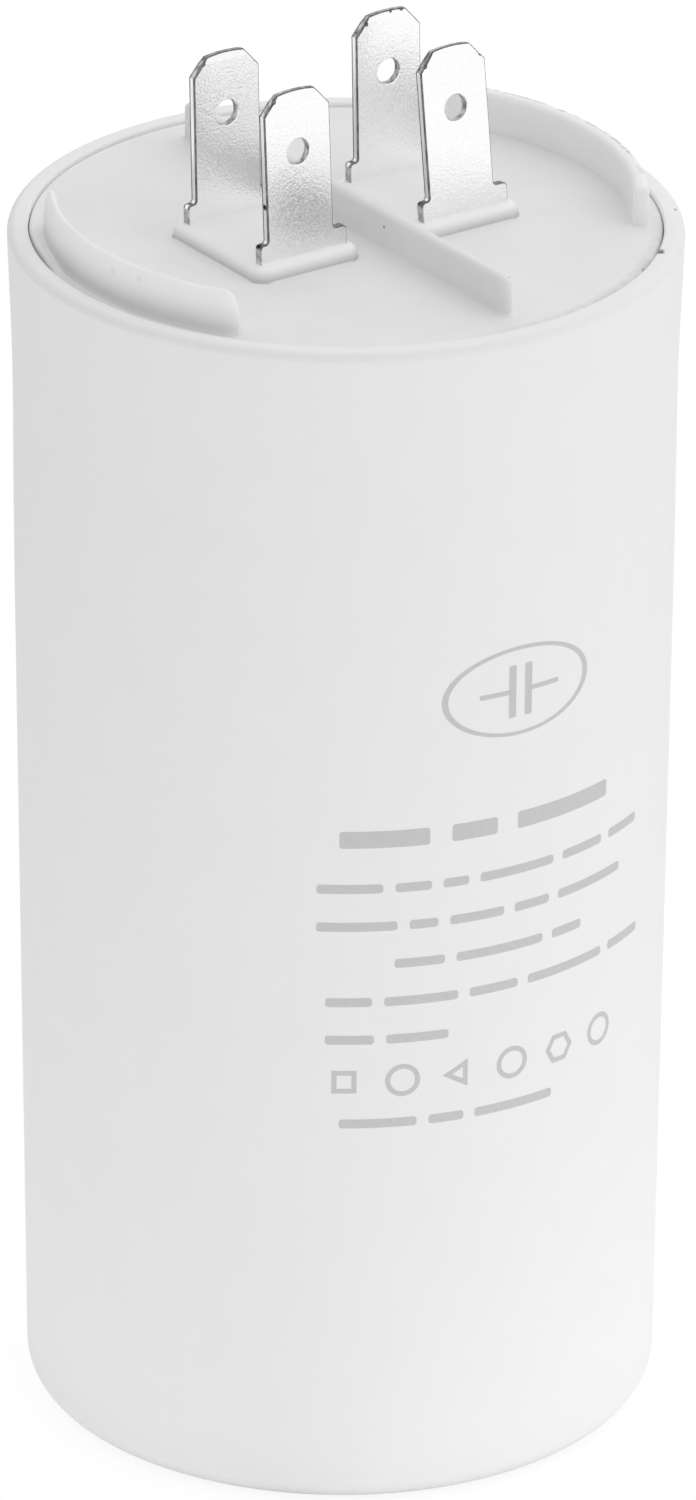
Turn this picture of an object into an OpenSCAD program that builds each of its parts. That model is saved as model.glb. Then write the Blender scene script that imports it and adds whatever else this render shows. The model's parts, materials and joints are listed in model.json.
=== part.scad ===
// Round plastic motor capacitor: a moulded cup closed by a lid that carries four tab terminals,
// with a metallised film winding potted inside.
// Millimetres. The base stands on z = 0, and +X runs across the tabs from one terminal to the other.

/* [Case] */
// Height of the cup
case_h = 103.7; // [80:0.1:140]
// Outside radius of the straight band that a clamp grips
band_r = 27.05; // [24:0.05:34]
// How far the rim stands out past the band
flare_w = 0.45; // [0.2:0.05:1]
// How far the wall narrows from the band down to the foot
foot_taper = 0.8; // [0.3:0.05:1.2]
// Height of the straight band
band_h = 14; // [8:0.5:30]
// Height of the flare between the band and the rim
flare_h = 12; // [6:0.5:20]
// Thickness of the rim that stands around the lid
rim_wall = 1.75; // [1.2:0.05:2.4]
// Width of the ledge that the lid sits on
seat_w = 0.9; // [0.6:0.05:1.4]
// Thickness of the floor
floor_t = 2.5; // [1.5:0.1:5]
// Rounding of the foot
foot_edge_r = 2.8; // [1:0.1:4]
// Rounding of the rim's two edges
rim_edge_r = 0.5; // [0.1:0.05:0.55]

/* [Lid] */
// Thickness of the lid at its edge
lid_t = 3; // [2:0.1:5]
// How far the lid lies below the rim
lid_drop = 0.3; // [0:0.05:1.5]
// Open seam between the lid and the rim
lid_gap = 0.2; // [0.05:0.05:0.4]
// Rounding of the lid's top edge
lid_edge_r = 0.35; // [0.1:0.05:0.8]
// Thickness of the barrier between the terminals
barrier_t = 1.2; // [0.8:0.05:2.4]
// Room between the barrier's ends and the lid's edge
barrier_end_gap = 2.65; // [1.5:0.05:8]
// Height of the barrier above the lid
barrier_h = 3.3; // [1.5:0.1:8]
// Width of the ledge that is left outside an arc rib
rib_ledge = 1.05; // [0.6:0.05:3]
// Thickness of an arc rib
rib_t = 1.3; // [0.8:0.05:2]
// Height of an arc rib above the lid
rib_h = 3.5; // [1.5:0.1:8]
// Angle that an arc rib covers
rib_angle = 66; // [30:1:100]
// Width of a plinth on each side of its terminal
plinth_side = 1; // [0.9:0.1:1.8]
// Length of a plinth past each tab
plinth_end = 1.05; // [0.9:0.05:3]
// Height of a plinth above the lid
plinth_h = 1.2; // [1:0.1:3]
// Rounding of a plinth's corners and top edges
plinth_r = 0.7; // [0.2:0.05:0.9]

/* [Terminals] */
// Room between the barrier and each plinth
barrier_gap = 2.15; // [1:0.05:4]
// Distance between the two tabs of a terminal
tab_pitch = 10.3; // [8:0.1:10.5]
// Width of a tab
tab_w = 6.3; // [4:0.1:7]
// Thickness of the sheet
tab_t = 0.8; // [0.5:0.1:1]
// Height of a tab above its ears
tab_h = 12.4; // [9:0.1:16]
// Width of an ear on each side of the tab
ear_side = 1.05; // [0.6:0.05:1.4]
// Height of the ears above the plinth
ear_h = 1.6; // [0.6:0.1:3]
// Sideways offset of a tab on its strip
tab_shift = -0.25; // [-0.4:0.05:0.4]
// Diameter of the catch hole
catch_d = 2.2; // [1:0.1:2.6]
// Distance from the tip down to the catch hole
catch_drop = 5.2; // [4:0.1:7]
// Width of the cut across each corner of the tip
tip_cut_w = 1.35; // [0.5:0.05:2]
// Height of that cut
tip_cut_h = 1.7; // [0.5:0.05:2.5]
// Thickness that is left at the thinned tip
tip_t = 0.45; // [0.2:0.05:0.5]
// Height of the thinning at the tip
tip_thin_h = 0.7; // [0.2:0.05:1.4]
// Inside radius of the sheet's folds
fold_r = 0.5; // [0.2:0.1:1]
// Clearance around a strip in its slot
slot_gap = 0.1; // [0.05:0.05:0.2]
// Lean of the left back tab
lean_left_back = 2; // [-6:0.1:6]
// Lean of the left front tab
lean_left_front = 3.6; // [-6:0.1:6]
// Lean of the right back tab
lean_right_back = 1.9; // [-6:0.1:6]
// Lean of the right front tab
lean_right_front = 7.6; // [-6:0.1:10]

/* [Winding] */
// Resin between the winding and the wall, at the floor
potting_side = 2.7; // [1.5:0.1:6]
// Room for the leads between the resin and the terminals
lead_room = 8.9; // [8.6:0.1:20]
// Thickness of the tape around the winding
wrap_t = 0.4; // [0.2:0.05:0.8]
// Outside radius of the core tube
core_r = 5; // [3.5:0.1:8]
// Wall of the core tube
core_wall = 1; // [0.6:0.1:1.4]
// Thickness of the sprayed metal on each end
spray_t = 0.6; // [0.3:0.1:1.2]

/* [Leads and potting] */
// Radius of a lead wire
lead_r = 0.6; // [0.4:0.05:0.6]
// Wall of the sleeve on the long lead
sleeve_wall = 0.5; // [0.3:0.05:0.8]
// Radius of a lead's bend at its middle
lead_bend_r = 2; // [1.2:0.1:2.2]
// Radius of a solder joint
solder_r = 1.8; // [1.3:0.1:2.4]
// Height of a solder joint
solder_h = 1.6; // [1.5:0.1:2]
// Solder between the lower spray and the lead under it
lead_stand = 0.2; // [0.1:0.05:0.25]
// Thickness of the solder at the narrow end of a joint
solder_lip = 0.15; // [0.05:0.05:0.4]
// Depth of resin under the winding
potting_under = 4; // [3:0.1:6]
// Depth of resin over the winding
potting_over = 3; // [2:0.1:5]

/* [Hidden] */
$fn = 96;
// Overshoot of a cut past the faces that it opens
past = 1;
// Length of the cut at a tab's tip, as a share of the part of it that meets the tab
tip_run = 1.2;

// The cup's outline
band_top = case_h - flare_h;
band_low = band_top - band_h;
rim_r = band_r + flare_w;
foot_r = band_r - foot_taper;
draft = atan(foot_taper / band_low);
foot_arc_x = foot_r - foot_edge_r * (1 - sin(draft)) / cos(draft);
rim_in_r = rim_r - rim_wall;
cavity_r = rim_in_r - seat_w;

// Radius of the cavity wall at a height
function cavity_at(z) = z >= band_low ? cavity_r : cavity_r - (band_low - z) * tan(draft);

// Levels and sizes of the lid
lid_top = case_h - lid_drop;
seat_z = lid_top - lid_t;
lid_r = rim_in_r - lid_gap;
rib_r = lid_r - rib_ledge;
barrier_l = 2 * (lid_r - barrier_end_gap);
ear_w = tab_w + 2 * ear_side;
plinth_w = ear_w + 2 * plinth_side;
plinth_l = tab_pitch + tab_t + 2 * plinth_end;
plinth_top = lid_top + plinth_h;
tip_z = ear_h + tab_h;

// Levels and sizes of the winding
bridge_low = seat_z - tab_t;
potting_top = bridge_low - lead_room;
element_top = potting_top - potting_over;
upper_spray_z = element_top - spray_t;
lower_spray_z = floor_t + potting_under;
winding_z = lower_spray_z + spray_t;
winding_h = upper_spray_z - winding_z;
element_r = cavity_at(floor_t) - potting_side;
winding_r = element_r - wrap_t;

// Levels and places of the leads
terminal_x = (plinth_w + barrier_t) / 2 + barrier_gap;
low_run_z = lower_spray_z - lead_stand - lead_r;
high_run_z = (potting_top + bridge_low) / 2;
low_joint_x = (core_r + winding_r) / 2;
solder_tip_r = lead_r + solder_lip;

// Outline of the cup, filled
module case_outline() {
    polygon([[0, 0], [foot_arc_x, 0],
        [foot_arc_x + foot_edge_r * cos(draft), foot_edge_r * (1 - sin(draft))],
        [band_r, band_low], [band_r, band_top], [rim_r, case_h - rim_edge_r],
        [rim_r - rim_edge_r, case_h - rim_edge_r], [rim_r - rim_edge_r, case_h],
        [rim_in_r + rim_edge_r, case_h], [rim_in_r + rim_edge_r, case_h - rim_edge_r],
        [rim_in_r, case_h - rim_edge_r], [0, case_h - rim_edge_r]]);
    translate([foot_arc_x, foot_edge_r]) circle(foot_edge_r);
    translate([rim_r - rim_edge_r, case_h - rim_edge_r]) circle(rim_edge_r);
    translate([rim_in_r + rim_edge_r, case_h - rim_edge_r]) circle(rim_edge_r);
}

// Outline of the cavity from the floor up to a level under the lid
module cavity_outline(top) {
    polygon([[0, floor_t], [cavity_at(floor_t), floor_t], [cavity_at(band_low), band_low],
        [cavity_r, top], [0, top]]);
}

module case() {
    color("white")
    rotate_extrude()
    difference() {
        case_outline();
        cavity_outline(seat_z);
        translate([0, seat_z]) square([rim_in_r, case_h]);
    }
}

// Section of an upstanding rib, with a round top and its foot inside the lid
module rib_section(thickness, height) {
    translate([-thickness / 2, -lid_t / 2]) square([thickness, lid_t / 2 + height - thickness / 2]);
    translate([0, height - thickness / 2]) circle(thickness / 2);
}

// Round end of such a rib
module rib_end(thickness, height) {
    translate([0, 0, -lid_t / 2]) cylinder(r = thickness / 2, h = lid_t / 2 + height - thickness / 2);
    translate([0, 0, height - thickness / 2]) sphere(thickness / 2);
}

module barrier() {
    run = barrier_l - barrier_t;
    rotate([90, 0, 0]) linear_extrude(run, center = true) rib_section(barrier_t, barrier_h);
    for (side = [-1, 1]) translate([0, side * run / 2, 0]) rib_end(barrier_t, barrier_h);
}

module arc_rib() {
    middle_r = rib_r - rib_t / 2;
    rotate(-rib_angle / 2) rotate_extrude(angle = rib_angle)
        translate([middle_r, 0]) rib_section(rib_t, rib_h);
    for (side = [-1, 1]) rotate(side * rib_angle / 2) translate([middle_r, 0, 0]) rib_end(rib_t, rib_h);
}

// Block with round corners and a round top edge, its foot inside the lid
module plinth() {
    x = plinth_w / 2 - plinth_r;
    y = plinth_l / 2 - plinth_r;
    z = plinth_h - plinth_r;
    foot = lid_t / 2;
    translate([-x, -plinth_l / 2, -foot]) cube([2 * x, plinth_l, foot + z]);
    translate([-plinth_w / 2, -y, -foot]) cube([plinth_w, 2 * y, foot + z]);
    translate([-x, -y, -foot]) cube([2 * x, 2 * y, foot + plinth_h]);
    for (sx = [-1, 1]) translate([sx * x, 0, z]) rotate([90, 0, 0])
        cylinder(r = plinth_r, h = 2 * y, center = true);
    for (sy = [-1, 1]) translate([0, sy * y, z]) rotate([0, 90, 0])
        cylinder(r = plinth_r, h = 2 * x, center = true);
    for (sx = [-1, 1], sy = [-1, 1]) translate([sx * x, sy * y, 0]) {
        translate([0, 0, -foot]) cylinder(r = plinth_r, h = foot + z);
        translate([0, 0, z]) sphere(plinth_r);
    }
}

module lid() {
    slot = [ear_w + 2 * slot_gap, tab_t + 2 * slot_gap, plinth_h + lid_t + 2 * past];
    relief = [slot[0], slot[1] + 2 * fold_r, 2 * (fold_r + slot_gap)];
    color("white")
    difference() {
        union() {
            translate([0, 0, seat_z]) rotate_extrude() {
                square([lid_r - lid_edge_r, lid_t]);
                square([lid_r, lid_t - lid_edge_r]);
                translate([lid_r - lid_edge_r, lid_t - lid_edge_r]) circle(lid_edge_r);
            }
            translate([0, 0, lid_top]) {
                barrier();
                for (turn = [0, 180]) rotate(turn) arc_rib();
                for (side = [-1, 1]) translate([side * terminal_x, 0, 0]) plinth();
            }
        }
        for (side = [-1, 1], row = [-1, 1]) translate([side * terminal_x, row * tab_pitch / 2, seat_z]) {
            translate([0, 0, slot[2] / 2 - past]) cube(slot, center = true);
            cube(relief, center = true);
        }
    }
}

// What is cut away above the ears of a strip to leave a tab, with the top of the plinth at the origin
module tab_trim() {
    half = tab_w / 2;
    side_z = tip_z - tip_cut_h;
    end = [half - tip_cut_w * tip_run, side_z + tip_cut_h * tip_run];
    difference() {
        translate([-ear_w / 2 - past, ear_h]) square([ear_w + 2 * past, tab_h + past]);
        translate([tab_shift, 0]) polygon([[-half, 0], [half, 0], [half, side_z], end,
            [end[0], tip_z + 2 * past], [-end[0], tip_z + 2 * past], [-end[0], end[1]], [-half, side_z]]);
    }
    translate([tab_shift, tip_z - catch_drop]) circle(d = catch_d);
}

// Point of a tab's side view after the tab leans back by an angle
function leant(p, lean) = [p[0] * cos(lean) + p[1] * sin(lean), p[1] * cos(lean) - p[0] * sin(lean)];

// Side view of a leg and its tab, which leans from the top of the plinth and is thinned at its tip
module tab_side(leg_h, lean) {
    half = tab_t / 2;
    mitre = half * tan(lean / 2);
    thin_z = tip_z - tip_thin_h;
    tab = [[half, thin_z], [tip_t / 2, tip_z], [-tip_t / 2, tip_z], [-half, thin_z]];
    polygon(concat([[-half, -leg_h], [half, -leg_h], [half, -mitre]], [for (p = tab) leant(p, lean)],
        [[-half, mitre]]));
}

// Folded strip, seen from the side: a bridge under the lid and a leg with its tab up through each slot
module strip_side(back_lean, front_lean) {
    leg_y = tab_pitch / 2;
    outer_r = fold_r + tab_t;
    fold_y = leg_y + tab_t / 2 - outer_r;
    fold_z = bridge_low + outer_r;
    translate([-fold_y, bridge_low]) square([2 * fold_y, tab_t]);
    translate([leg_y, plinth_top]) tab_side(plinth_top - fold_z, back_lean);
    translate([-leg_y, plinth_top]) tab_side(plinth_top - fold_z, front_lean);
    for (side = [-1, 1]) intersection() {
        translate([side * fold_y, fold_z]) difference() {
            circle(outer_r);
            circle(fold_r);
        }
        translate([side > 0 ? fold_y : -fold_y - outer_r, bridge_low]) square(outer_r);
    }
}

// One terminal: two tabs on a single folded strip
module terminal(back_lean, front_lean) {
    difference() {
        rotate([90, 0, 90]) linear_extrude(ear_w, center = true) strip_side(back_lean, front_lean);
        translate([0, tab_pitch / 2, plinth_top]) rotate([90 - back_lean, 0, 0])
            linear_extrude(tab_t + past, center = true) tab_trim();
        translate([0, -tab_pitch / 2, plinth_top]) rotate([90 - front_lean, 0, 0])
            linear_extrude(tab_t + past, center = true) tab_trim();
    }
}

module left_terminal() {
    color("silver") translate([-terminal_x, 0, 0]) terminal(lean_left_back, lean_left_front);
}

module right_terminal() {
    color("silver") translate([terminal_x, 0, 0]) terminal(lean_right_back, lean_right_front);
}

// Tube or ring that stands at a level
module ring(outer, inner, low, height) {
    translate([0, 0, low]) difference() {
        cylinder(r = outer, h = height);
        translate([0, 0, -past]) cylinder(r = inner, h = height + 2 * past);
    }
}

module film_winding() {
    color("lightgray") ring(winding_r, core_r, winding_z, winding_h);
}

module core_tube() {
    color("beige") ring(core_r, core_r - core_wall, lower_spray_z, element_top - lower_spray_z);
}

module outer_wrap() {
    color("khaki") ring(element_r, winding_r, lower_spray_z, element_top - lower_spray_z);
}

module upper_spray() {
    color("gray") ring(winding_r, core_r, upper_spray_z, spray_t);
}

module lower_spray() {
    color("gray") ring(winding_r, core_r, lower_spray_z, spray_t);
}

// Straight upright wire between two levels
module upright(radius, low, high) {
    translate([0, 0, low]) cylinder(r = radius, h = high - low);
}

module short_lead() {
    color("goldenrod") translate([terminal_x, 0, 0]) upright(lead_r, element_top, bridge_low);
}

// Quarter bend of the wire from an upright into a level run towards -X, its upright end at the origin
module bend_over() {
    translate([-lead_bend_r, 0, 0]) rotate([90, 0, 0]) rotate_extrude(angle = 90)
        translate([lead_bend_r, 0]) circle(lead_r);
}

// Level run of wire towards -X
module level_run(length) {
    rotate([0, -90, 0]) cylinder(r = lead_r, h = length);
}

// Wire from the lower spray to the middle and up through the core to a level
module rising_lead(high) {
    low_bend_z = low_run_z + lead_bend_r;
    translate([-lead_bend_r, 0, low_run_z]) level_run(low_joint_x - lead_bend_r);
    translate([0, 0, low_bend_z]) mirror([0, 0, 1]) bend_over();
    upright(lead_r, low_bend_z, high);
}

// The same wire, led on over to the left terminal
module long_lead() {
    high_bend_z = high_run_z - lead_bend_r;
    color("goldenrod") {
        rising_lead(high_bend_z);
        translate([0, 0, high_bend_z]) bend_over();
        translate([-lead_bend_r, 0, high_run_z]) level_run(terminal_x - 2 * lead_bend_r);
        translate([-terminal_x, 0, high_run_z + lead_bend_r]) rotate(180) mirror([0, 0, 1]) bend_over();
        translate([-terminal_x, 0, 0]) upright(lead_r, high_run_z + lead_bend_r, bridge_low);
    }
}

module lead_sleeve() {
    low = lower_spray_z + lead_bend_r;
    high = potting_top + lead_r;
    color("firebrick") ring(lead_r + sleeve_wall, lead_r, low, high - low);
}

// Cone of solder around an upright wire
module solder_cone(low, high, low_r, high_r) {
    translate([0, 0, low]) difference() {
        cylinder(r1 = low_r, r2 = high_r, h = high - low);
        translate([0, 0, -past]) cylinder(r = lead_r, h = high - low + 2 * past);
    }
}

module upper_solder() {
    color("darkgray") translate([terminal_x, 0, 0])
        solder_cone(element_top, element_top + solder_h, solder_r, solder_tip_r);
}

module right_solder() {
    color("darkgray") translate([terminal_x, 0, 0])
        solder_cone(bridge_low - solder_h, bridge_low, solder_tip_r, solder_r);
}

module left_solder() {
    color("darkgray") translate([-terminal_x, 0, 0])
        solder_cone(bridge_low - solder_h, bridge_low, solder_tip_r, solder_r);
}

// Lump of solder that joins the level end of the long lead to the lower spray
module lower_solder_lump() {
    translate([-low_joint_x, 0, lower_spray_z - solder_h]) cylinder(r = solder_r, h = solder_h);
}

module lower_solder() {
    color("darkgray") difference() {
        lower_solder_lump();
        rising_lead(lower_spray_z + lead_bend_r);
    }
}

module potting() {
    color("dimgray") difference() {
        rotate_extrude() cavity_outline(potting_top);
        translate([0, 0, lower_spray_z]) cylinder(r = element_r, h = element_top - lower_spray_z);
        rising_lead(lower_spray_z + lead_bend_r);
        lower_solder_lump();
        upright(lead_r + sleeve_wall, element_top - past, potting_top + past);
        translate([terminal_x, 0, 0]) upright(lead_r, element_top - past, potting_top + past);
        translate([terminal_x, 0, element_top]) cylinder(r1 = solder_r, r2 = solder_tip_r, h = solder_h);
    }
}

case();
lid();
left_terminal();
right_terminal();
film_winding();
core_tube();
outer_wrap();
upper_spray();
lower_spray();
short_lead();
long_lead();
lead_sleeve();
upper_solder();
lower_solder();
left_solder();
right_solder();
potting();
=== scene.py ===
import json
import math

import bmesh
import bpy
from mathutils import Matrix, Vector, noise


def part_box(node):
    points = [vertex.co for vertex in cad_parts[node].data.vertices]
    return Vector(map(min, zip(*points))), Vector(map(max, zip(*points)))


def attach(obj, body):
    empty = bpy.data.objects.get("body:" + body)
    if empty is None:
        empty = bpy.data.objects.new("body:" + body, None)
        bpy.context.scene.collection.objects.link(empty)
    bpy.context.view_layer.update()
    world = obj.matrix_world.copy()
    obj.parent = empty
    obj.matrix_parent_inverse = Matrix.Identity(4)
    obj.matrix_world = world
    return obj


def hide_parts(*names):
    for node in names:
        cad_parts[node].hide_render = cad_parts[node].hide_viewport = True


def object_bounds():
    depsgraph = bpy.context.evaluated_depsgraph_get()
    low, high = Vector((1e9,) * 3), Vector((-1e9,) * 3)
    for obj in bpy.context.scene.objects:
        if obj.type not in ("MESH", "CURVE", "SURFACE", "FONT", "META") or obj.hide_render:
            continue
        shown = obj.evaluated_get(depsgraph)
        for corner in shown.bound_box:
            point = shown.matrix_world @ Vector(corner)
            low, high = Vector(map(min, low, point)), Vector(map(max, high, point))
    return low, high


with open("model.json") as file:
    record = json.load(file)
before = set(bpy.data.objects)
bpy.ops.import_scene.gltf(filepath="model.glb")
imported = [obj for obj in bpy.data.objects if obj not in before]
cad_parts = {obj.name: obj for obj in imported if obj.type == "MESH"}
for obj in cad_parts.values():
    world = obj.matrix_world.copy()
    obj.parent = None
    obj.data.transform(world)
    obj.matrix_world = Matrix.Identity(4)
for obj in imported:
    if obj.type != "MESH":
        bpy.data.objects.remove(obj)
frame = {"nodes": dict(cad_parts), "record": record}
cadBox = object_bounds()
mm = 0.001  # pieces are modelled in millimetres and brought to metres at the end
scene = bpy.context.scene
scene.view_settings.view_transform = "Standard"
print("frame loaded:", len(frame["nodes"]), "nodes")


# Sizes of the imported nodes, in millimetres
def nodeBox(node):
    low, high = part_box(node)
    return low / mm, high / mm


caseLow, caseHigh = nodeBox("case")
lidLow, lidHigh = nodeBox("lid")
rimTop = caseHigh.z
rimRadius = caseHigh.x
lidRadius = lidHigh.x
seatLevel = lidLow.z
lidDrop = 0.3  # the lid lies a little below the rim
lidTop = rimTop - lidDrop


# A shader socket that adds nodes when it is used in an expression
class Wire:
    def __init__(self, tree, socket=None):
        self.tree = tree
        self.socket = socket

    # Any node: its type, its settings, what goes into its sockets, and the socket that comes out
    def node(self, kind, settings=None, inputs=None, out=0):
        made = self.tree.nodes.new(kind)
        for name, value in (settings or {}).items():
            setattr(made, name, value)
        for name, value in (inputs or {}).items():
            if isinstance(value, Wire):
                self.tree.links.new(value.socket, made.inputs[name])
            else:
                made.inputs[name].default_value = value
        return Wire(self.tree, made.outputs[out] if made.outputs else None)

    def math(self, operation, first, second=0.0):
        return self.node("ShaderNodeMath", {"operation": operation}, {0: first, 1: second})

    def __add__(self, other):
        return self.math("ADD", self, other)

    def __radd__(self, other):
        return self.math("ADD", other, self)

    def __sub__(self, other):
        return self.math("SUBTRACT", self, other)

    def __rsub__(self, other):
        return self.math("SUBTRACT", other, self)

    def __mul__(self, other):
        return self.math("MULTIPLY", self, other)

    def __rmul__(self, other):
        return self.math("MULTIPLY", other, self)

    # 0 below low, 1 above high
    def ramp(self, low, high):
        limits = {"Value": self, "From Min": low, "From Max": high}
        return self.node("ShaderNodeMapRange", {"clamp": True}, limits)

    # A blend of two colours by this value
    def mix(self, colourA, colourB):
        kind = {"data_type": "RGBA", "clamp_factor": True}
        return self.node("ShaderNodeMix", kind, {0: self, 6: colourA, 7: colourB}, out=2)


def grey(level, warmth=0.0):
    return (level * (1 + warmth), level, level * (1 - warmth), 1)


# A new material with its shader and Object coordinates
def newMaterial(name):
    material = bpy.data.materials.new(name)
    material.use_nodes = True
    tree = material.node_tree
    shader = tree.nodes["Principled BSDF"]
    start = Wire(tree)
    place = start.node("ShaderNodeTexCoord", out="Object")
    return material, shader, start, place


def feed(wire, shader, socket):
    wire.tree.links.new(wire.socket, shader.inputs[socket])


# Noise in cells of a given size in millimetres
def grain(start, place, size, detail=2.0, stretch=(1, 1, 1)):
    moved = start.node("ShaderNodeMapping", None, {"Vector": place, "Scale": stretch})
    inputs = {"Vector": moved, "Scale": 1 / (size * mm), "Detail": detail}
    return start.node("ShaderNodeTexNoise", {"noise_dimensions": "3D"}, inputs)


# Patches of a grain: its size, and the values between which a patch begins and is full
def patches(start, place, size, low, high):
    return grain(start, place, size).ramp(low, high)


# A roughness that wavers about its middle with a grain
def uneven(middle, spread, wire):
    return middle + spread * (wire - 0.5)


# Specks, each given as its place and radius in millimetres and its strength; core is the share that is full
def speckMask(start, place, specks, core=0.5):
    mask = 0.0
    for x, y, z, radius, strength in specks:
        spot = {0: place, 1: (x * mm, y * mm, z * mm)}
        distance = start.node("ShaderNodeVectorMath", {"operation": "DISTANCE"}, spot, "Value")
        mask = mask + strength * (1 - distance.ramp(core * radius * mm, radius * mm))
    return mask


def bump(start, height, depth):
    return start.node("ShaderNodeBump", None, {"Height": height, "Distance": depth * mm, "Strength": 1.0})


# Pale moulded plastic; one with a depth lets a little light through
# painted shade and light by height: darker low down as painted shade and paler higher up as painted light,
# given as two heights above the lid and the paler level that is reached between them
# painted shade along the lid's edge, broken into patches: its direction, half of its angle, its width and
# strength
# crest: where the wear on a rib's outer edge begins and is full, in radius and in height above the lid, its
# direction and half of its angle, and its strength
plasticSet = {
    "casePlastic": {"level": 0.915, "mottle": 0.012, "depth": 0},
    "lidPlastic": {"level": 0.86, "mottle": 0.03, "depth": 0, "seamShade": (298, 42, 1.0, 0.4)},
    # the plinths are darker on their sides as painted shade and paler on their tops as painted light
    "plinthPaintedShadeAndLight": {"level": 0.6, "mottle": 0.01, "depth": 0, "paintedShadeToLight": (0.15, 1.0, 0.97)},
    # the left rib's plastic is a darker copy as painted shade, growing paler towards its top as painted light
    "leftRibPaintedShadeAndLight": {"level": 0.8, "mottle": 0.015, "depth": 1.2, "paintedShadeToLight": (0.5, 2.6, 0.92)},
    "rightRibPlastic": {"level": 0.88, "mottle": 0.015, "depth": 1.2,
                        "crest": (23.87, 24.07, 2.8, 3.1, 3, 31, 0.65)},
}
# Dark specks in the mouldings: place, radius and strength
speckSet = {
    "casePlastic": [(23.7, -12.8, 103.7, 0.2, 0.9), (17.3, -19.48, 103.65, 0.4, 1),
                    (17.58, -19.15, 103.65, 0.38, 0.6)],
    "lidPlastic": [(-0.6, -6.18, 105.5, 0.16, 0.9), (0.26, -22.4, 106.6, 0.2, 0.5),
                   (14.6, -21.05, 103.3, 0.3, 0.7), (9.9, -23.6, 103.3, 0.24, 0.7),
                   (7.4, -24.55, 103.3, 0.22, 0.6), (-0.56, -25.6, 103.3, 0.28, 0.7)],
    "leftRibPaintedShadeAndLight": [(-24.26, -2.19, 105.85, 0.32, 0.1), (-23.76, -5.16, 106.03, 0.32, 0.1)],
    "rightRibPlastic": [(21.4, -11.2, 106.75, 0.2, 0.7)],
}
skinSet = {
    "roughness": 0.62,
    "roughnessSpread": 0.1,
    "shine": 0.14,
    "cloud": 5.0,           # patches of paler and darker tone
    "grain": 0.5,           # moulded skin, in millimetres
    "grainDepth": 0.006,
    "wave": 14.0,           # slow unevenness of the wall
    "waveDepth": 0.03,
    "speckLevel": 0.2,
    "speckWarmth": 0.05,
    # level of the dirt on the right rib's crest and of the painted shade along the lid's edge
    "dirtAndSeamShadeLevel": 0.3,
    "seamShadeEven": 0.4,        # share of the painted shade along the lid's edge that is not in patches
    "seamShadePatches": (0.9, 0.35, 0.6),    # grain size, begin and full
    "wearPatches": (0.8, 0.42, 0.55),
    "wearFade": 5,          # degrees over which the wear ends
}


# Distance from the can's axis, and how far a place lies towards a direction: 1 there, 0 at right angles to it
def roundPlace(start, place, direction):
    flat = start.node("ShaderNodeVectorMath", {"operation": "MULTIPLY"}, {0: place, 1: (1, 1, 0)})
    around = start.node("ShaderNodeVectorMath", {"operation": "LENGTH"}, {0: flat}, "Value")
    turn = math.radians(direction)
    towards = {0: flat, 1: (math.cos(turn), math.sin(turn), 0)}
    along = start.node("ShaderNodeVectorMath", {"operation": "DOT_PRODUCT"}, towards, "Value")
    return around, start.math("DIVIDE", along, start.math("MAXIMUM", around, mm))


def heightOf(start, place):
    return start.node("ShaderNodeSeparateXYZ", None, {"Vector": place}, "Z")


# Painted shade along the lid's edge where it meets the rim, broken into patches
def paintedSeamShade(start, place, direction, half, width, strength):
    around, facing = roundPlace(start, place, direction)
    edge = lidRadius * mm
    near = around.ramp(edge - width * mm, edge)
    side = facing.ramp(math.cos(math.radians(half)), 1)
    even = skinSet["seamShadeEven"]
    broken = even + (1 - even) * patches(start, place, *skinSet["seamShadePatches"])
    return near * side * broken * strength


# Wear along the outer edge of a rib's top
def crestWear(start, place, inner, outer, low, high, direction, half, strength):
    around, facing = roundPlace(start, place, direction)
    fade = skinSet["wearFade"]
    side = facing.ramp(math.cos(math.radians(half)), math.cos(math.radians(half - fade)))
    level = heightOf(start, place).ramp((lidTop + low) * mm, (lidTop + high) * mm)
    broken = patches(start, place, *skinSet["wearPatches"])
    return around.ramp(inner * mm, outer * mm) * level * side * broken * strength


def mouldedPlastic(name):
    s = skinSet
    own = plasticSet[name]
    material, shader, start, place = newMaterial(name)
    cloud = grain(start, place, s["cloud"], detail=3)
    fine = grain(start, place, s["grain"], detail=3)
    tone = cloud.mix(grey(own["level"] - own["mottle"]), grey(own["level"] + own["mottle"]))
    # painted shade low down and painted light higher up
    if "paintedShadeToLight" in own:
        low, high, pale = own["paintedShadeToLight"]
        paintedLightShare = heightOf(start, place).ramp((lidTop + low) * mm, (lidTop + high) * mm)
        tone = paintedLightShare.mix(tone, grey(pale))
    # painted shade along the lid's edge
    if "seamShade" in own:
        tone = paintedSeamShade(start, place, *own["seamShade"]).mix(tone, grey(s["dirtAndSeamShadeLevel"]))
    if "crest" in own:
        tone = crestWear(start, place, *own["crest"]).mix(tone, grey(s["dirtAndSeamShadeLevel"]))
    if name in speckSet:
        dark = grey(s["speckLevel"], s["speckWarmth"])
        tone = speckMask(start, place, speckSet[name]).mix(tone, dark)
    feed(tone, shader, "Base Color")
    feed(uneven(s["roughness"], s["roughnessSpread"], fine), shader, "Roughness")
    wave = grain(start, place, s["wave"], detail=1)
    feed(bump(start, fine * s["grainDepth"] + wave * s["waveDepth"], 1.0), shader, "Normal")
    shader.inputs["Specular IOR Level"].default_value = s["shine"]
    if own["depth"]:
        shader.inputs["Subsurface Weight"].default_value = 1
        shader.inputs["Subsurface Radius"].default_value = (1, 1, 1)
        shader.inputs["Subsurface Scale"].default_value = own["depth"] * mm
    return material


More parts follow.
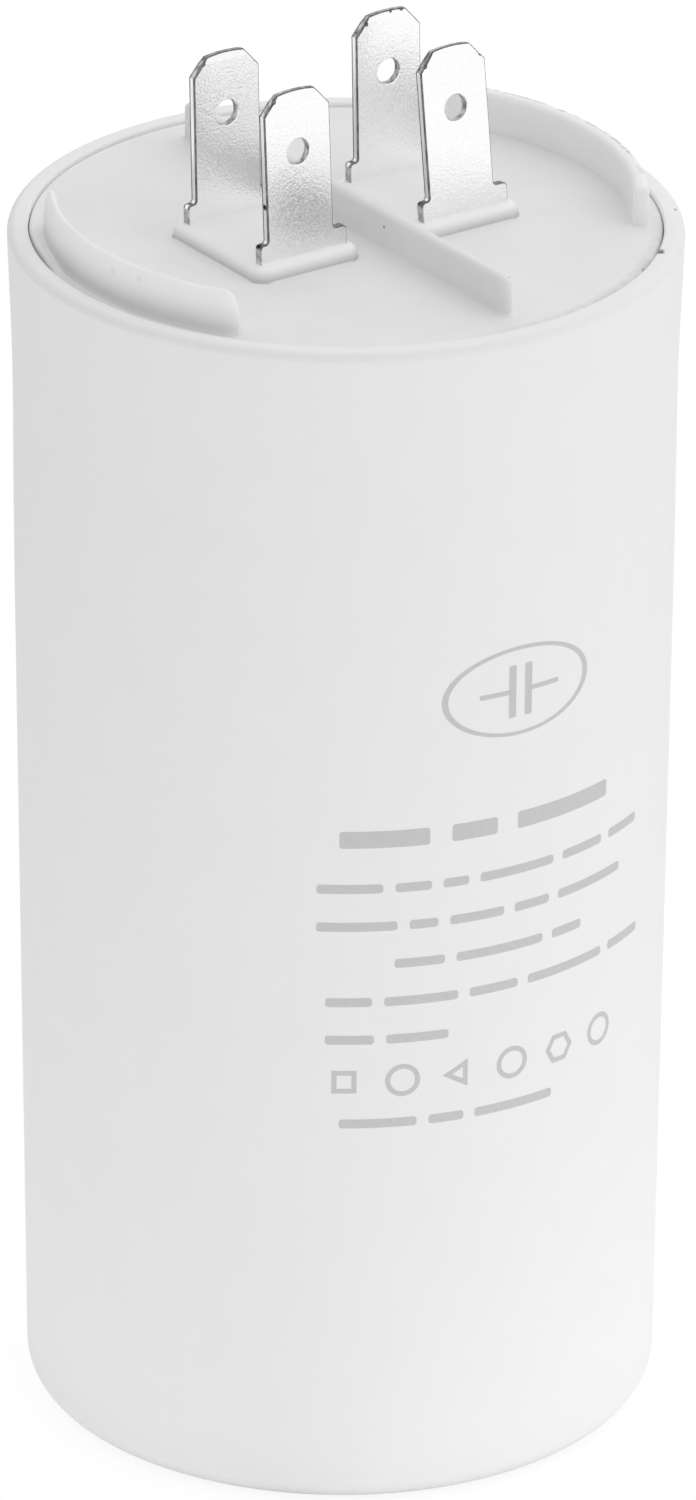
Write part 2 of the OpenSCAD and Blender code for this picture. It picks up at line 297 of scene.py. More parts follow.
# Bright tin plate with fine pits
tinSet = {
    "level": 0.98,
    "roughness": 0.06,
    "roughnessSpread": 0.08,
    "stainSize": 1.6,
    "pitSize": 0.2,
    "pitDepth": 0.03,
    "pitLimits": (0.36, 0.6),   # values of the grain at which the skin begins and is full
    "pitShade": (0.03, 0.015),  # how much darker a pit is and how much brighter the skin around it
    # patches of painted dark reflection on the tabs, following the pits: place, radius and strength
    "paintedReflection": [(-8.2, -5.4, 108.6, 4.6, 0.6), (-8.2, 5.4, 115.5, 4.5, 0.35), (7.7, 5.4, 113.0, 3.5, 0.3)],
    "paintedReflectionCore": 0.3,
    "paintedReflectionLimits": (0.4, 0.62),
    "paintedReflectionLevel": 0.5,
    "waveSize": 3.0,
    "waveDepth": 0.015,
}


def tinPlate():
    s = tinSet
    material, shader, start, place = newMaterial("tinPlate")
    pits = grain(start, place, s["pitSize"], detail=3)
    stain = grain(start, place, s["stainSize"])
    darker, brighter = s["pitShade"]
    tone = pits.ramp(*s["pitLimits"]).mix(grey(s["level"] - darker), grey(s["level"] + brighter))
    # painted dark reflection on the tabs, in patches that follow the pits
    paintedReflection = speckMask(start, place, s["paintedReflection"], s["paintedReflectionCore"]) * pits.ramp(*s["paintedReflectionLimits"])
    feed(paintedReflection.mix(tone, grey(s["paintedReflectionLevel"])), shader, "Base Color")
    feed(uneven(s["roughness"], s["roughnessSpread"], stain), shader, "Roughness")
    wave = grain(start, place, s["waveSize"], detail=0)
    height = pits * s["pitDepth"] + wave * s["waveDepth"]
    feed(bump(start, height, 1.0), shader, "Normal")
    shader.inputs["Metallic"].default_value = 1
    return material


# Cut edges of the sheet: the bright sheared face, its dull margins, the torn face of tips and holes, and the
# rough sides below the ears' tops. The ears' tops take the dark margins' finish as painted dark reflection,
# and the tips' darkness is partly their torn steel and partly painted dark reflection
# each has a dark and a bright level, a roughness, a grain size and its stretch
edgeSet = {
    "cutFace": (0.7, 0.95, 0.22, 0.3, (1, 1, 0.06)),
    "cutMargin": (0.06, 0.3, 0.4, 0.3, (1, 1, 0.4)),
    "tornFace": (0.03, 0.75, 0.4, 0.5, (1, 1, 1)),
    "earSide": (0.3, 0.75, 0.4, 0.5, (1, 1, 1)),
}
streakLimits = (0.25, 0.75)
edgeRoughnessSpread = 0.1
burrReflectionSet = {
    "level": 0.01,
    # black spots of painted dark reflection where the cut edges have burrs: place, radius and strength
    "places": [
        (-12.05, -5.05, 106.1, 0.36, 1),
        (-12.1, -4.68, 106.1, 0.26, 0.6),
        (-11.35, -4.86, 109.25, 0.32, 1),
        (3.85, -4.95, 106.1, 0.34, 0.9),
        (3.8, -4.58, 106.1, 0.26, 0.7),
        (-12.15, 5.55, 106.0, 0.2, 0.6),
    ],
}


def cutMetal(name):
    dark, bright, roughness, size, stretch = edgeSet[name]
    material, shader, start, place = newMaterial(name)
    streaks = grain(start, place, size, stretch=stretch)
    tone = streaks.ramp(*streakLimits).mix(grey(dark), grey(bright))
    # black spots of painted dark reflection at the burrs
    burrReflections = speckMask(start, place, burrReflectionSet["places"])
    feed(burrReflections.mix(tone, grey(burrReflectionSet["level"])), shader, "Base Color")
    feed(uneven(roughness, edgeRoughnessSpread, streaks), shader, "Roughness")
    shader.inputs["Metallic"].default_value = 1
    return material


# Grey printing ink: its levels where it is thick and thin
inkSet = {"thick": 0.57, "thin": 0.65, "grain": 0.3, "roughness": 0.55, "roughnessSpread": 0.08}


def greyInk():
    s = inkSet
    material, shader, start, place = newMaterial("greyInk")
    thin = grain(start, place, s["grain"])
    feed(thin.mix(grey(s["thick"]), grey(s["thin"])), shader, "Base Color")
    feed(uneven(s["roughness"], s["roughnessSpread"], thin), shader, "Roughness")
    return material


# Finishes of what lies inside the can: dark and pale colour, roughness, metal, grain size and its stretch
innerSet = {
    "film": ((0.62, 0.64, 0.67, 1), (0.78, 0.8, 0.82, 1), 0.25, 0.6, 0.3, (1, 1, 0.02)),
    "core_plastic": ((0.8, 0.76, 0.64, 1), (0.88, 0.85, 0.76, 1), 0.5, 0, 2.0, (1, 1, 1)),
    "wrap_tape": ((0.74, 0.62, 0.36, 1), (0.86, 0.78, 0.52, 1), 0.2, 0, 6.0, (1, 1, 0.2)),
    "sprayed_metal": ((0.36, 0.37, 0.38, 1), (0.62, 0.62, 0.63, 1), 0.7, 0.8, 0.4, (1, 1, 1)),
    "lead_wire": ((0.66, 0.46, 0.26, 1), (0.82, 0.62, 0.4, 1), 0.28, 1, 0.6, (1, 1, 0.1)),
    "sleeve": ((0.45, 0.05, 0.04, 1), (0.6, 0.1, 0.08, 1), 0.45, 0, 1.5, (1, 1, 1)),
    "solder": ((0.55, 0.55, 0.56, 1), (0.75, 0.75, 0.75, 1), 0.35, 1, 0.5, (1, 1, 1)),
    "resin": ((0.1, 0.1, 0.1, 1), (0.17, 0.17, 0.16, 1), 0.3, 0, 3.0, (1, 1, 1)),
}
innerRoughnessSpread = 0.16
innerGrainDepth = 0.02


def innerFinish(slotName):
    dark, pale, roughness, metal, size, stretch = innerSet[slotName]
    material, shader, start, place = newMaterial(slotName + "Finish")
    cloud = grain(start, place, size, detail=3, stretch=stretch)
    feed(cloud.mix(dark, pale), shader, "Base Color")
    feed(uneven(roughness, innerRoughnessSpread, cloud), shader, "Roughness")
    feed(bump(start, cloud, innerGrainDepth), shader, "Normal")
    shader.inputs["Metallic"].default_value = metal
    return material


casePlastic = mouldedPlastic("casePlastic")
lidPlastic = mouldedPlastic("lidPlastic")
plinthPaintedShadeAndLight = mouldedPlastic("plinthPaintedShadeAndLight")
leftRibPaintedShadeAndLight = mouldedPlastic("leftRibPaintedShadeAndLight")
rightRibPlastic = mouldedPlastic("rightRibPlastic")
tin = tinPlate()
cutFace = cutMetal("cutFace")
cutMargin = cutMetal("cutMargin")
tornFace = cutMetal("tornFace")
earSide = cutMetal("earSide")
ink = greyInk()
print("materials made")


# A finished piece from a bmesh in millimetres
def makePiece(name, bm, finishes, stoodFor, sharpAngle=32):
    bmesh.ops.scale(bm, vec=(mm, mm, mm), verts=bm.verts)
    mesh = bpy.data.meshes.new(name)
    bm.to_mesh(mesh)
    bm.free()
    mesh.shade_smooth()
    mesh.set_sharp_from_angle(angle=math.radians(sharpAngle))
    for material in finishes:
        mesh.materials.append(material)
    piece = bpy.data.objects.new(name, mesh)
    scene.collection.objects.link(piece)
    even = piece.modifiers.new("evenShading", "WEIGHTED_NORMAL")
    even.keep_sharp = True
    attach(piece, "root")
    if stoodFor:
        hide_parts(stoodFor)
    print(name, "made:", len(mesh.polygons), "faces")
    return piece


mergeDistance = 0.0001
ringTolerance = 0.005


# Turns an outline of (radius, level) points about the can's axis
def turned(bm, outline, steps, startAngle=0.0):
    turn = Matrix.Rotation(startAngle, 4, "Z")
    verts = [bm.verts.new(turn @ Vector((radius, 0, level))) for radius, level in outline]
    edges = [bm.edges.new(pair) for pair in zip(verts, verts[1:])]
    bmesh.ops.spin(bm, geom=verts + edges, cent=(0, 0, 0), axis=(0, 0, 1), angle=2 * math.pi,
                   steps=steps, use_merge=True)
    bmesh.ops.remove_doubles(bm, verts=bm.verts, dist=mergeDistance)
    bmesh.ops.recalc_face_normals(bm, faces=bm.faces)


# Rounds the ring of edges at a radius and level
def softenRing(bm, radius, level, width, segments):
    def onRing(v):
        return max(abs(v.co.xy.length - radius), abs(v.co.z - level)) < ringTolerance

    ring = [e for e in bm.edges if all(onRing(v) for v in e.verts)]
    bmesh.ops.bevel(bm, geom=ring, offset=width, offset_type="OFFSET", affect="EDGES", segments=segments,
                    profile=0.5, material=-1)


# Cuts a mesh along a plane and keeps both sides
def cutAcross(bm, place, normal):
    bmesh.ops.bisect_plane(bm, geom=bm.verts[:] + bm.edges[:] + bm.faces[:], plane_co=place, plane_no=normal,
                           dist=0.00001)


# Pulls flat faces out into a solid of a given thickness
def thicken(bm, thick):
    grown = bmesh.ops.extrude_face_region(bm, geom=bm.faces[:])
    top = [v for v in grown["geom"] if isinstance(v, bmesh.types.BMVert)]
    bmesh.ops.translate(bm, vec=(0, 0, thick), verts=top)


# The moulded cup
caseSet = {
    "bandRadius": 27.05,
    "footRadius": 26.25,
    "bandLow": 77.7,
    "bandTop": 91.7,
    "rimWall": 1.75,
    "seatWidth": 0.9,
    "floor": 2.5,
    "footEdge": 2.8,
    "rimEdges": (0.85, 0.25),   # outside and inside
    "blend": 4.0,       # length over which the band runs into the taper and the flare
    "steps": 224,
}


def wallRadius(level):
    s = caseSet
    taper = (s["bandRadius"] - s["footRadius"]) / s["bandLow"]
    return s["bandRadius"] - max(0, s["bandLow"] - level) * taper


def makeCase():
    s = caseSet
    rimInside = rimRadius - s["rimWall"]
    cavity = rimInside - s["seatWidth"]
    cavityFoot = cavity - s["bandRadius"] + wallRadius(s["floor"])
    bm = bmesh.new()
    turned(bm, [(0, caseLow.z), (s["footRadius"], caseLow.z), (s["bandRadius"], s["bandLow"]),
                (s["bandRadius"], s["bandTop"]), (rimRadius, rimTop), (rimInside, rimTop),
                (rimInside, seatLevel), (cavity, seatLevel), (cavity, s["bandLow"]),
                (cavityFoot, s["floor"]), (0, s["floor"])], s["steps"])
    rimOuterEdge, rimInnerEdge = s["rimEdges"]
    softenRing(bm, s["footRadius"], caseLow.z, s["footEdge"], segments=10)
    softenRing(bm, s["bandRadius"], s["bandLow"], s["blend"], segments=4)
    softenRing(bm, s["bandRadius"], s["bandTop"], s["blend"], segments=4)
    softenRing(bm, rimRadius, rimTop, rimOuterEdge, segments=8)
    softenRing(bm, rimInside, rimTop, rimInnerEdge, segments=6)
    return makePiece("case", bm, [casePlastic], "case")


makeCase()


# The lid with its barrier, ribs and plinths
lidSet = {
    "edge": 0.35,
    # the lower edge beside the left rib: depth, direction, half of its angle and run-out
    "dip": (0.55, 192, 24, 8),
    "seam": 0.05,           # gap to the rim where the lid fits well
    "tightest": 0.01,       # smallest gap to the rim
    "edgeWander": 0.05,     # how far the moulded edge strays inwards
    "wanderScale": 0.11,    # the slow stray's place in the noise, for each millimetre
    "fineWander": 0.5,      # share of a quicker stray
    "noiseSlices": (3.0, 7.0, 5.0),     # where the noise is read: slow stray, quick stray and nicks
    # wider gaps, and narrower ones below zero: width, direction and half of the angle
    "openSeams": ((0.11, 185, 35), (0.48, 164, 17), (-0.08, 126, 26), (0.03, 302, 22), (0.06, 316, 13),
                  (-0.12, 342, 22)),
    "foot": 0.35,           # fillet where an upright meets the lid
    "root": 1.0,            # how far an upright reaches into the lid
    "steps": 224,
    "barrierThick": 1.2,
    "barrierEndGap": 2.65,
    "barrierHigh": 3.3,
    "barrierFlat": 0.02,    # half of the flat along its top
    "barrierEnd": 2.0,      # length of its round ends, as a share of half its thickness
    "ribLedge": 1.05,
    "ribThick": 1.3,
    "ribHigh": 3.5,
    "ribAngle": 66,
    "ribCuts": 60,
    # of the right rib and the left one: round ends, given as the barrier's, width of the rounded edges,
    # height of the crown for each millimetre of those, and fillet at the foot
    "ribEnds": (0.12, 2.0),
    "ribEdges": (0.5, 0.63),
    "ribCrowns": (1.0, 4.8),
    "ribFeet": (0.2, 0.02),
    "nick": 0.07,           # depth of the nicks on a rib's crest
    "nickBand": 0.3,        # height of the crest that they reach
    "nickScale": 0.9,
    "nickFrom": 0.25,       # value of the noise at which one begins
    "plinthGap": 2.15,      # between the barrier and a plinth
    "plinthWide": 10.4,
    "plinthLong": 13.2,
    "plinthHigh": 1.2,
    "plinthCorner": 1.5,
    "plinthEdge": 0.95,
    "plinthFoot": 0.15,
    "slotGap": -0.01,       # below zero, so that the sheet fills its slot
    "slotDeep": 20,
}
# What the lid and the terminals share
terminalX = (lidSet["plinthWide"] + lidSet["barrierThick"]) / 2 + lidSet["plinthGap"]
tabRow = 5.15
sheetThick = 0.8
earWide = 8.4


# Points of an arc from one angle to another, in degrees
def arcPoints(centre, radius, start, end, count):
    angles = [math.radians(start + (end - start) * i / count) for i in range(count + 1)]
    return [(centre[0] + radius * math.cos(a), centre[1] + radius * math.sin(a)) for a in angles]


# A post with a fillet at its foot and a round top, pulled out into a wall or a block
# both arcs end a few degrees early, so that neither lies flush with a flat face
def upright(halfThick, high, edge, spread, endShape=1.0, crown=1.0, foot=lidSet["foot"], steps=40):
    outline = [(halfThick + foot, -lidSet["root"])]
    outline += arcPoints((halfThick + foot, foot), foot, 265, 180, 5)
    for radius, level in arcPoints((halfThick - edge, 0), edge, 0, 88, 9):
        outline.append((radius, high + crown * (level - edge)))
    bm = bmesh.new()
    turned(bm, outline, steps, math.pi / steps)
    for v in bm.verts:
        v.co.x += math.copysign(spread[0], v.co.x)
        v.co.y = v.co.y * endShape + math.copysign(spread[1] + halfThick * (1 - endShape), v.co.y)
    openEdges = [e for e in bm.edges if e.is_boundary]
    bmesh.ops.holes_fill(bm, edges=openEdges)
    bmesh.ops.recalc_face_normals(bm, faces=bm.faces)
    return bm


# Cuts a straight upright across at even steps and bends it around the can's axis
def bendAround(bm, radius, length, cuts):
    for i in range(1, cuts):
        y = length * (i / cuts - 0.5)
        cutAcross(bm, (0, y, 0), (0, 1, 0))
    for v in bm.verts:
        angle = v.co.y / radius
        reach = radius + v.co.x
        v.co.x = reach * math.cos(angle)
        v.co.y = reach * math.sin(angle)


def tempObject(bm, name):
    mesh = bpy.data.meshes.new(name)
    bm.to_mesh(mesh)
    bm.free()
    made = bpy.data.objects.new(name, mesh)
    scene.collection.objects.link(made)
    return made


# Joins shapes to a body, or cuts them out of it, and gives the result as a bmesh
def combine(body, shapes, operation):
    for shape in shapes:
        modifier = body.modifiers.new(operation, "BOOLEAN")
        modifier.operation = operation
        modifier.solver = "EXACT"
        modifier.object = shape
    depsgraph = bpy.context.evaluated_depsgraph_get()
    result = bmesh.new()
    result.from_mesh(body.evaluated_get(depsgraph).to_mesh())
    for made in [body, *shapes]:
        bpy.data.objects.remove(made)
    return result


def makeLid():
    s = lidSet
    disc = bmesh.new()
    edgeRadius = rimRadius - caseSet["rimWall"] - s["seam"]
    ribMiddle = lidRadius - s["ribLedge"] - s["ribThick"] / 2
    turned(disc, [(0, seatLevel), (edgeRadius, seatLevel), (edgeRadius, lidTop), (ribMiddle, lidTop),
                  (0, lidTop)], s["steps"])
    softenRing(disc, edgeRadius, lidTop, s["edge"], segments=4)
    dipDeep, dipAt, dipHalf, dipRun = s["dip"]
    slowSlice, quickSlice, nickSlice = s["noiseSlices"]
    for v in disc.verts:
        around = v.co.xy.length
        if around > edgeRadius - 2 * s["edge"]:
            slow = noise.noise((v.co.x * s["wanderScale"], v.co.y * s["wanderScale"], slowSlice))
            stray = slow + s["fineWander"] * noise.noise((v.co.x, v.co.y, quickSlice))
            facing = math.degrees(math.atan2(v.co.y, v.co.x)) % 360
            inwards = s["edgeWander"] * (0.5 + 0.5 * stray)
            for openWide, openAt, openHalf in s["openSeams"]:
                inwards += openWide * max(0, 1 - abs(facing - openAt) / openHalf)
            if v.co.z > lidTop - 2 * s["edge"]:
                v.co.z -= dipDeep * min(1, max(0, (dipHalf + dipRun - abs(facing - dipAt)) / dipRun))
            v.co.xy *= 1 - max(inwards, s["tightest"] - s["seam"]) / around
    half = s["barrierThick"] / 2
    barrierRun = lidRadius - s["barrierEndGap"] - half
    barrier = upright(half, s["barrierHigh"], half - s["barrierFlat"], (0, barrierRun), s["barrierEnd"])
    shapes = [barrier]
    ribRun = ribMiddle * math.radians(s["ribAngle"]) / 2
    for which, turn in enumerate((0, math.pi)):
        rib = upright(s["ribThick"] / 2, s["ribHigh"], s["ribEdges"][which], (0, ribRun), s["ribEnds"][which],
                      s["ribCrowns"][which], s["ribFeet"][which])
        bendAround(rib, ribMiddle, 2 * ribRun, s["ribCuts"])
        for v in rib.verts:
            worn = noise.noise((v.co.x * s["nickScale"], v.co.y * s["nickScale"], nickSlice + turn))
            if v.co.z > s["ribHigh"] - s["nickBand"] and worn > s["nickFrom"]:
                v.co.z -= s["nick"]
        bmesh.ops.rotate(rib, cent=(0, 0, 0), matrix=Matrix.Rotation(turn, 3, "Z"), verts=rib.verts)
        shapes.append(rib)
    for side in (-1, 1):
        corner = s["plinthCorner"]
        spread = (s["plinthWide"] / 2 - corner, s["plinthLong"] / 2 - corner)
        plinth = upright(corner, s["plinthHigh"], s["plinthEdge"], spread, foot=s["plinthFoot"])
        bmesh.ops.translate(plinth, vec=(side * terminalX, 0, 0), verts=plinth.verts)
        shapes.append(plinth)
    for shape in shapes:
        bmesh.ops.translate(shape, vec=(0, 0, lidTop), verts=shape.verts)
    whole = combine(tempObject(disc, "disc"), [tempObject(shape, "upright") for shape in shapes], "UNION")
    cutters = []
    for side in (-1, 1):
        for row in (-1, 1):
            cutter = bmesh.new()
            size = (earWide + 2 * s["slotGap"], sheetThick + 2 * s["slotGap"], s["slotDeep"], 1)
            place = Matrix.Translation((side * terminalX, row * tabRow, lidTop))
            bmesh.ops.create_cube(cutter, size=1, matrix=place @ Matrix.Diagonal(size))
            cutters.append(tempObject(cutter, "slot"))
    cut = combine(tempObject(whole, "whole"), cutters, "DIFFERENCE")
    finishes = [lidPlastic, plinthPaintedShadeAndLight, leftRibPaintedShadeAndLight, rightRibPlastic]
    overLid = lidTop + 0.02  # just above the lid's face
    for face in cut.faces:
        centre = face.calc_center_median()
        if centre.z < overLid:
            continue
        across = abs(abs(centre.x) - terminalX) < s["plinthWide"] / 2
        along = abs(centre.y) < s["plinthLong"] / 2
        onRib = centre.xy.length > ribMiddle - s["ribThick"] and abs(centre.x) > s["barrierThick"]
        # the left rib takes the darker copy of the plastic with painted shade and painted light
        if onRib:
            face.material_index = finishes.index(leftRibPaintedShadeAndLight if centre.x < 0 else rightRibPlastic)
        # the plinths' faces take the plastic with painted shade and painted light
        elif across and along:
            face.material_index = finishes.index(plinthPaintedShadeAndLight)
    return makePiece("lid", cut, finishes, "lid")


makeLid()


# One terminal: a stamped strip with a tab at each end, folded up through the lid
terminalSet = {
    "thick": sheetThick,
    "tabWide": 6.3,
    "tabHigh": 12.4,
    "tabShift": -0.25,
    "earWide": earWide,
    "earHigh": 1.6,
    "earCorner": 0.35,
    "rootFillet": 0.3,
    "holeRadius": 1.1,
    "holeDrop": 5.2,
    "holeEdge": 0.06,
    "holeSteps": 40,
    "holeFlare": 0.6,       # how far the hole's cutter stands out
    "holeZone": 1.2,        # reach of the hole's own finish, in hole radii
    "tipCutWide": 1.35,
    "tipCutHigh": 1.7,
    "tipCrown": 0.15,
    "tipThick": 0.45,
    "tipThinHigh": 0.7,
    "foldRadius": 0.5,
    "edge": 0.09,
    "margin": 0.2,          # half of the bright part of a cut edge
    "foldSteps": 8,         # of a fold, and of the turn into a lean
    "crownSteps": 4,        # on each side of the tip's middle
    # small nicks at the tips: back or front tab, place across, depth below the tip, radius
    "nicks": {
        "left_terminal": [(1, 2.54, 1.25, 0.16), (1, -2.45, 0.6, 0.2), (-1, -2.45, 0.55, 0.24)],
        "right_terminal": [(1, 0.07, 0.12, 0.15), (1, 1.14, 0.12, 0.2), (1, -2.4, 0.7, 0.18),
                           (-1, 1.74, 0.24, 0.18), (-1, 2.05, 0.62, 0.2), (-1, 2.3, 0.92, 0.22),
                           (-1, 2.51, 1.2, 0.24), (-1, -2.95, 1.2, 0.2)],
    },
    "leanRun": 0.8,         # length over which a tab turns out of the upright
    # back tab and front tab, in degrees
    "leans": {"left_terminal": (2.0, 3.6), "right_terminal": (1.9, 7.6)},
}
# The bend at the middle of the sheet, and what it leaves of the bridge
stripMiddle = terminalSet["foldRadius"] + sheetThick / 2
stripBridge = tabRow - stripMiddle
stripBend = stripMiddle * math.pi / 2
bridgeLevel = seatLevel - sheetThick / 2
plinthTop = lidTop + lidSet["plinthHigh"]
# Places along the flat strip, from its middle: the plinth's top, the top of the ears and the tip
atPlinth = stripBridge + stripBend + plinthTop - bridgeLevel - stripMiddle
atEars = atPlinth + terminalSet["earHigh"]
atTip = atEars + terminalSet["tabHigh"]


# Outline of the flat strip, as (across, along) points: up one tab and down the other
def stripOutline():
    s = terminalSet
    half = s["tabWide"] / 2
    ear = s["earWide"] / 2
    corner = s["earCorner"]
    root = s["rootFillet"]
    flat = half - s["tipCutWide"]
    right = arcPoints((ear - corner, atEars - corner), corner, 0, 90, 4)
    right += arcPoints((half + s["tabShift"] + root, atEars + root), root, 270, 180, 4)
    right += [(half + s["tabShift"], atTip - s["tipCutHigh"])]
    top = []
    for i in range(2 * s["crownSteps"] + 1):
        share = 1 - i / s["crownSteps"]
        top.append((flat * share + s["tabShift"], atTip - s["tipCrown"] * share * share))
    left = [(-half + s["tabShift"], atTip - s["tipCutHigh"])]
    left += arcPoints((-half + s["tabShift"] - root, atEars + root), root, 0, -90, 4)
    left += arcPoints((corner - ear, atEars - corner), corner, 90, 180, 4)
    end = right + top + left
    return end + [(x, -y) for x, y in reversed(end)]


# Folds a point of the flat strip: across, along and out of its plane
def folded(point, backLean, frontLean):
    s = terminalSet
    side = 1 if point.y >= 0 else -1
    along = abs(point.y)
    out = point.z  # positive is the lower face of the bridge and the outer face of a leg
    thin = min(1, max(0, (along - atTip + s["tipThinHigh"]) / s["tipThinHigh"]))
    out *= 1 - thin * (1 - s["tipThick"] / s["thick"])
    if along <= stripBridge:
        return Vector((point.x, side * along, bridgeLevel - out))
    turn = min(along - stripBridge, stripBend) / stripMiddle
    y = stripBridge + stripMiddle * math.sin(turn)
    z = bridgeLevel + stripMiddle * (1 - math.cos(turn))
    rest = max(0, along - stripBridge - stripBend)
    straight = min(rest, atPlinth - s["leanRun"] / 2 - stripBridge - stripBend)
    z += straight
    rest -= straight
    lean = math.radians(backLean if side > 0 else frontLean) * side
    tilt = 0.0
    for i in range(s["foldSteps"]):
        bit = min(rest, s["leanRun"] / s["foldSteps"])
        tilt += lean * bit / s["leanRun"]
        y += bit * math.sin(tilt)
        z += bit * math.cos(tilt)
        rest -= bit
    y += rest * math.sin(tilt)
    z += rest * math.cos(tilt)
    facing = turn - tilt  # direction of the outer face
    y += out * math.sin(facing)
    z -= out * math.cos(facing)
    return Vector((point.x, side * y, z))


# Cutter of a catch hole, with a small chamfer at both mouths
def holeCutter(y):
    s = terminalSet
    mouth = s["thick"] / 2 - s["holeEdge"]
    hole = s["holeRadius"]
    reach = s["holeFlare"]
    cutter = bmesh.new()
    turned(cutter, [(0, -mouth - reach), (hole + reach, -mouth - reach), (hole, -mouth), (hole, mouth),
                    (hole + reach, mouth + reach), (0, mouth + reach)], s["holeSteps"])
    bmesh.ops.translate(cutter, vec=(s["tabShift"], y, 0), verts=cutter.verts)
    return tempObject(cutter, "hole")


# Cutter of a nick in the face that looks to the front
def nickCutter(row, across, drop, radius):
    cutter = bmesh.new()
    place = Matrix.Translation((across, row * (atTip - drop), -row * terminalSet["thick"] / 2))
    bmesh.ops.create_icosphere(cutter, subdivisions=2, radius=radius, matrix=place)
    return tempObject(cutter, "nick")


def makeTerminal(node, side):
    s = terminalSet
    blank = bmesh.new()
    blank.faces.new([blank.verts.new((x, y, -s["thick"] / 2)) for x, y in stripOutline()])
    thicken(blank, s["thick"])
    bmesh.ops.recalc_face_normals(blank, faces=blank.faces)
    rims = [e for e in blank.edges if abs(e.verts[0].co.z - e.verts[1].co.z) < 0.01]
    bmesh.ops.bevel(blank, geom=rims, offset=s["edge"], offset_type="OFFSET", affect="EDGES", segments=3,
                    profile=0.5, material=-1)
    holeY = atTip - s["holeDrop"]
    cutters = [holeCutter(-holeY), holeCutter(holeY)]
    cutters += [nickCutter(*nick) for nick in s["nicks"][node]]
    bm = combine(tempObject(blank, "blank"), cutters, "DIFFERENCE")
    shares = [i / s["foldSteps"] for i in range(s["foldSteps"] + 1)]
    cuts = [stripBridge + stripBend * share for share in shares]
    cuts += [atPlinth + s["leanRun"] * (share - 0.5) for share in shares]
    cuts += [atTip - s["tipThinHigh"]]
    for cut in cuts:
        for row in (-1, 1):
            cutAcross(bm, (0, row * cut, 0), (0, 1, 0))
    for out in (-s["margin"], s["margin"]):
        cutAcross(bm, (0, 0, out), (0, 0, 1))
    finishes = [tin, cutFace, cutMargin, tornFace, earSide]
    for face in bm.faces:
        centre = face.calc_center_median()
        along = abs(centre.y)
        inHole = math.hypot(centre.x - s["tabShift"], along - holeY) < s["holeZone"] * s["holeRadius"]
        flat = abs(face.normal.z) > 0.99
        sloping = abs(face.normal.z) > 0.1
        earTop = abs(along - atEars) < 0.03
        if flat or (sloping and inHole):
            finish = tin
        elif inHole:
            finish = tornFace
        elif along < atEars - s["earCorner"]:
            finish = earSide
        # the ears' tops are darkened as painted dark reflection
        elif sloping or earTop or abs(centre.z) > s["margin"]:
            finish = cutMargin
        else:
            # the tips' torn faces are dark partly as painted dark reflection
            finish = tornFace if along > atTip - s["tipCutHigh"] else cutFace
        face.material_index = finishes.index(finish)
    for v in bm.verts:
        v.co = folded(v.co, *s["leans"][node])
        v.co.x += side * terminalX
    bmesh.ops.recalc_face_normals(bm, faces=bm.faces)
    return makePiece(node, bm, finishes, node, sharpAngle=28)


makeTerminal("left_terminal", -1)
makeTerminal("right_terminal", 1)


# Inner pieces keep their shape and get their finish
for row in frame["record"]["subparts"]:
    name = row["node"]
    slotName = row["material_slot"]
    if slotName in innerSet:
        made = bpy.data.materials.get(slotName + "Finish") or innerFinish(slotName)
        cadMesh = frame["nodes"][name].data
        cadMesh.materials.clear()
        cadMesh.materials.append(made)
print("inner finishes set")


# Printed marks on the wall: a circuit symbol, bars and simple shapes
printSet = {
    "middle": -94,          # direction that the print faces, in degrees
    "thick": 0.012,
    "barHigh": 0.8,
    "barCorner": 0.8 / 3,
    "gap": 1.0,             # between the bars of a line
    "line": 0.42,           # width of a drawn line
    "lineCorner": 0.14,
    "plateLine": 0.672,     # width of the symbol's plates
    "badgeLine": 0.546,     # width of the oval's line
    "badgeSides": 72,
    "strips": 20,           # strips of a millimetre on each side of the middle, so that the print can bend
    # level and start of each line of bars, and the lengths of its bars, along the wall from the middle
    "lines": [
        (56.6, -16.6, (5.4, 3.0, 2.2, 7.0, 4.6, 4.2)),
        (53.2, -16.6, (6.6, 2.4, 4.8, 3.4, 7.6)),
        (49.8, -10.2, (4.2, 8.0, 3.2)),
        (46.4, -15.8, (3.8, 6.2, 4.4, 8.2, 4.6)),
        (43.0, -15.8, (4.0, 5.2)),
        (35.4, -14.6, (6.4, 3.0, 7.4)),
    ],
    # level, start, lengths and height of the large line
    "large": (61.0, -14.8, (7.4, 4.0, 9.8), 1.5),
    # level and size of the row of shapes, with the number of sides and the place of each
    "shapes": (39.2, 2.9, ((4, -14.2), (48, -9.4), (3, -4.6), (48, 0.2), (6, 5.0), (48, 9.8))),
    # level and place of the circuit symbol, its plate height, plate distance and lead length
    "symbol": (72.6, 0.4, 4.6, 1.5, 3.0),
    "badge": (14.0, 0.56),  # width of the oval around the symbol, and its height as a share of that
}


# A flat bar with round corners
def flatBar(bm, x, y, wide, high, corner):
    place = Matrix.Translation((x, y, 0)) @ Matrix.Diagonal((wide, high, 1, 1))
    made = bmesh.ops.create_grid(bm, x_segments=1, y_segments=1, size=0.5, matrix=place)
    bmesh.ops.bevel(bm, geom=made["verts"], offset=corner, offset_type="OFFSET", affect="VERTICES",
                    segments=4, profile=0.5, material=-1)


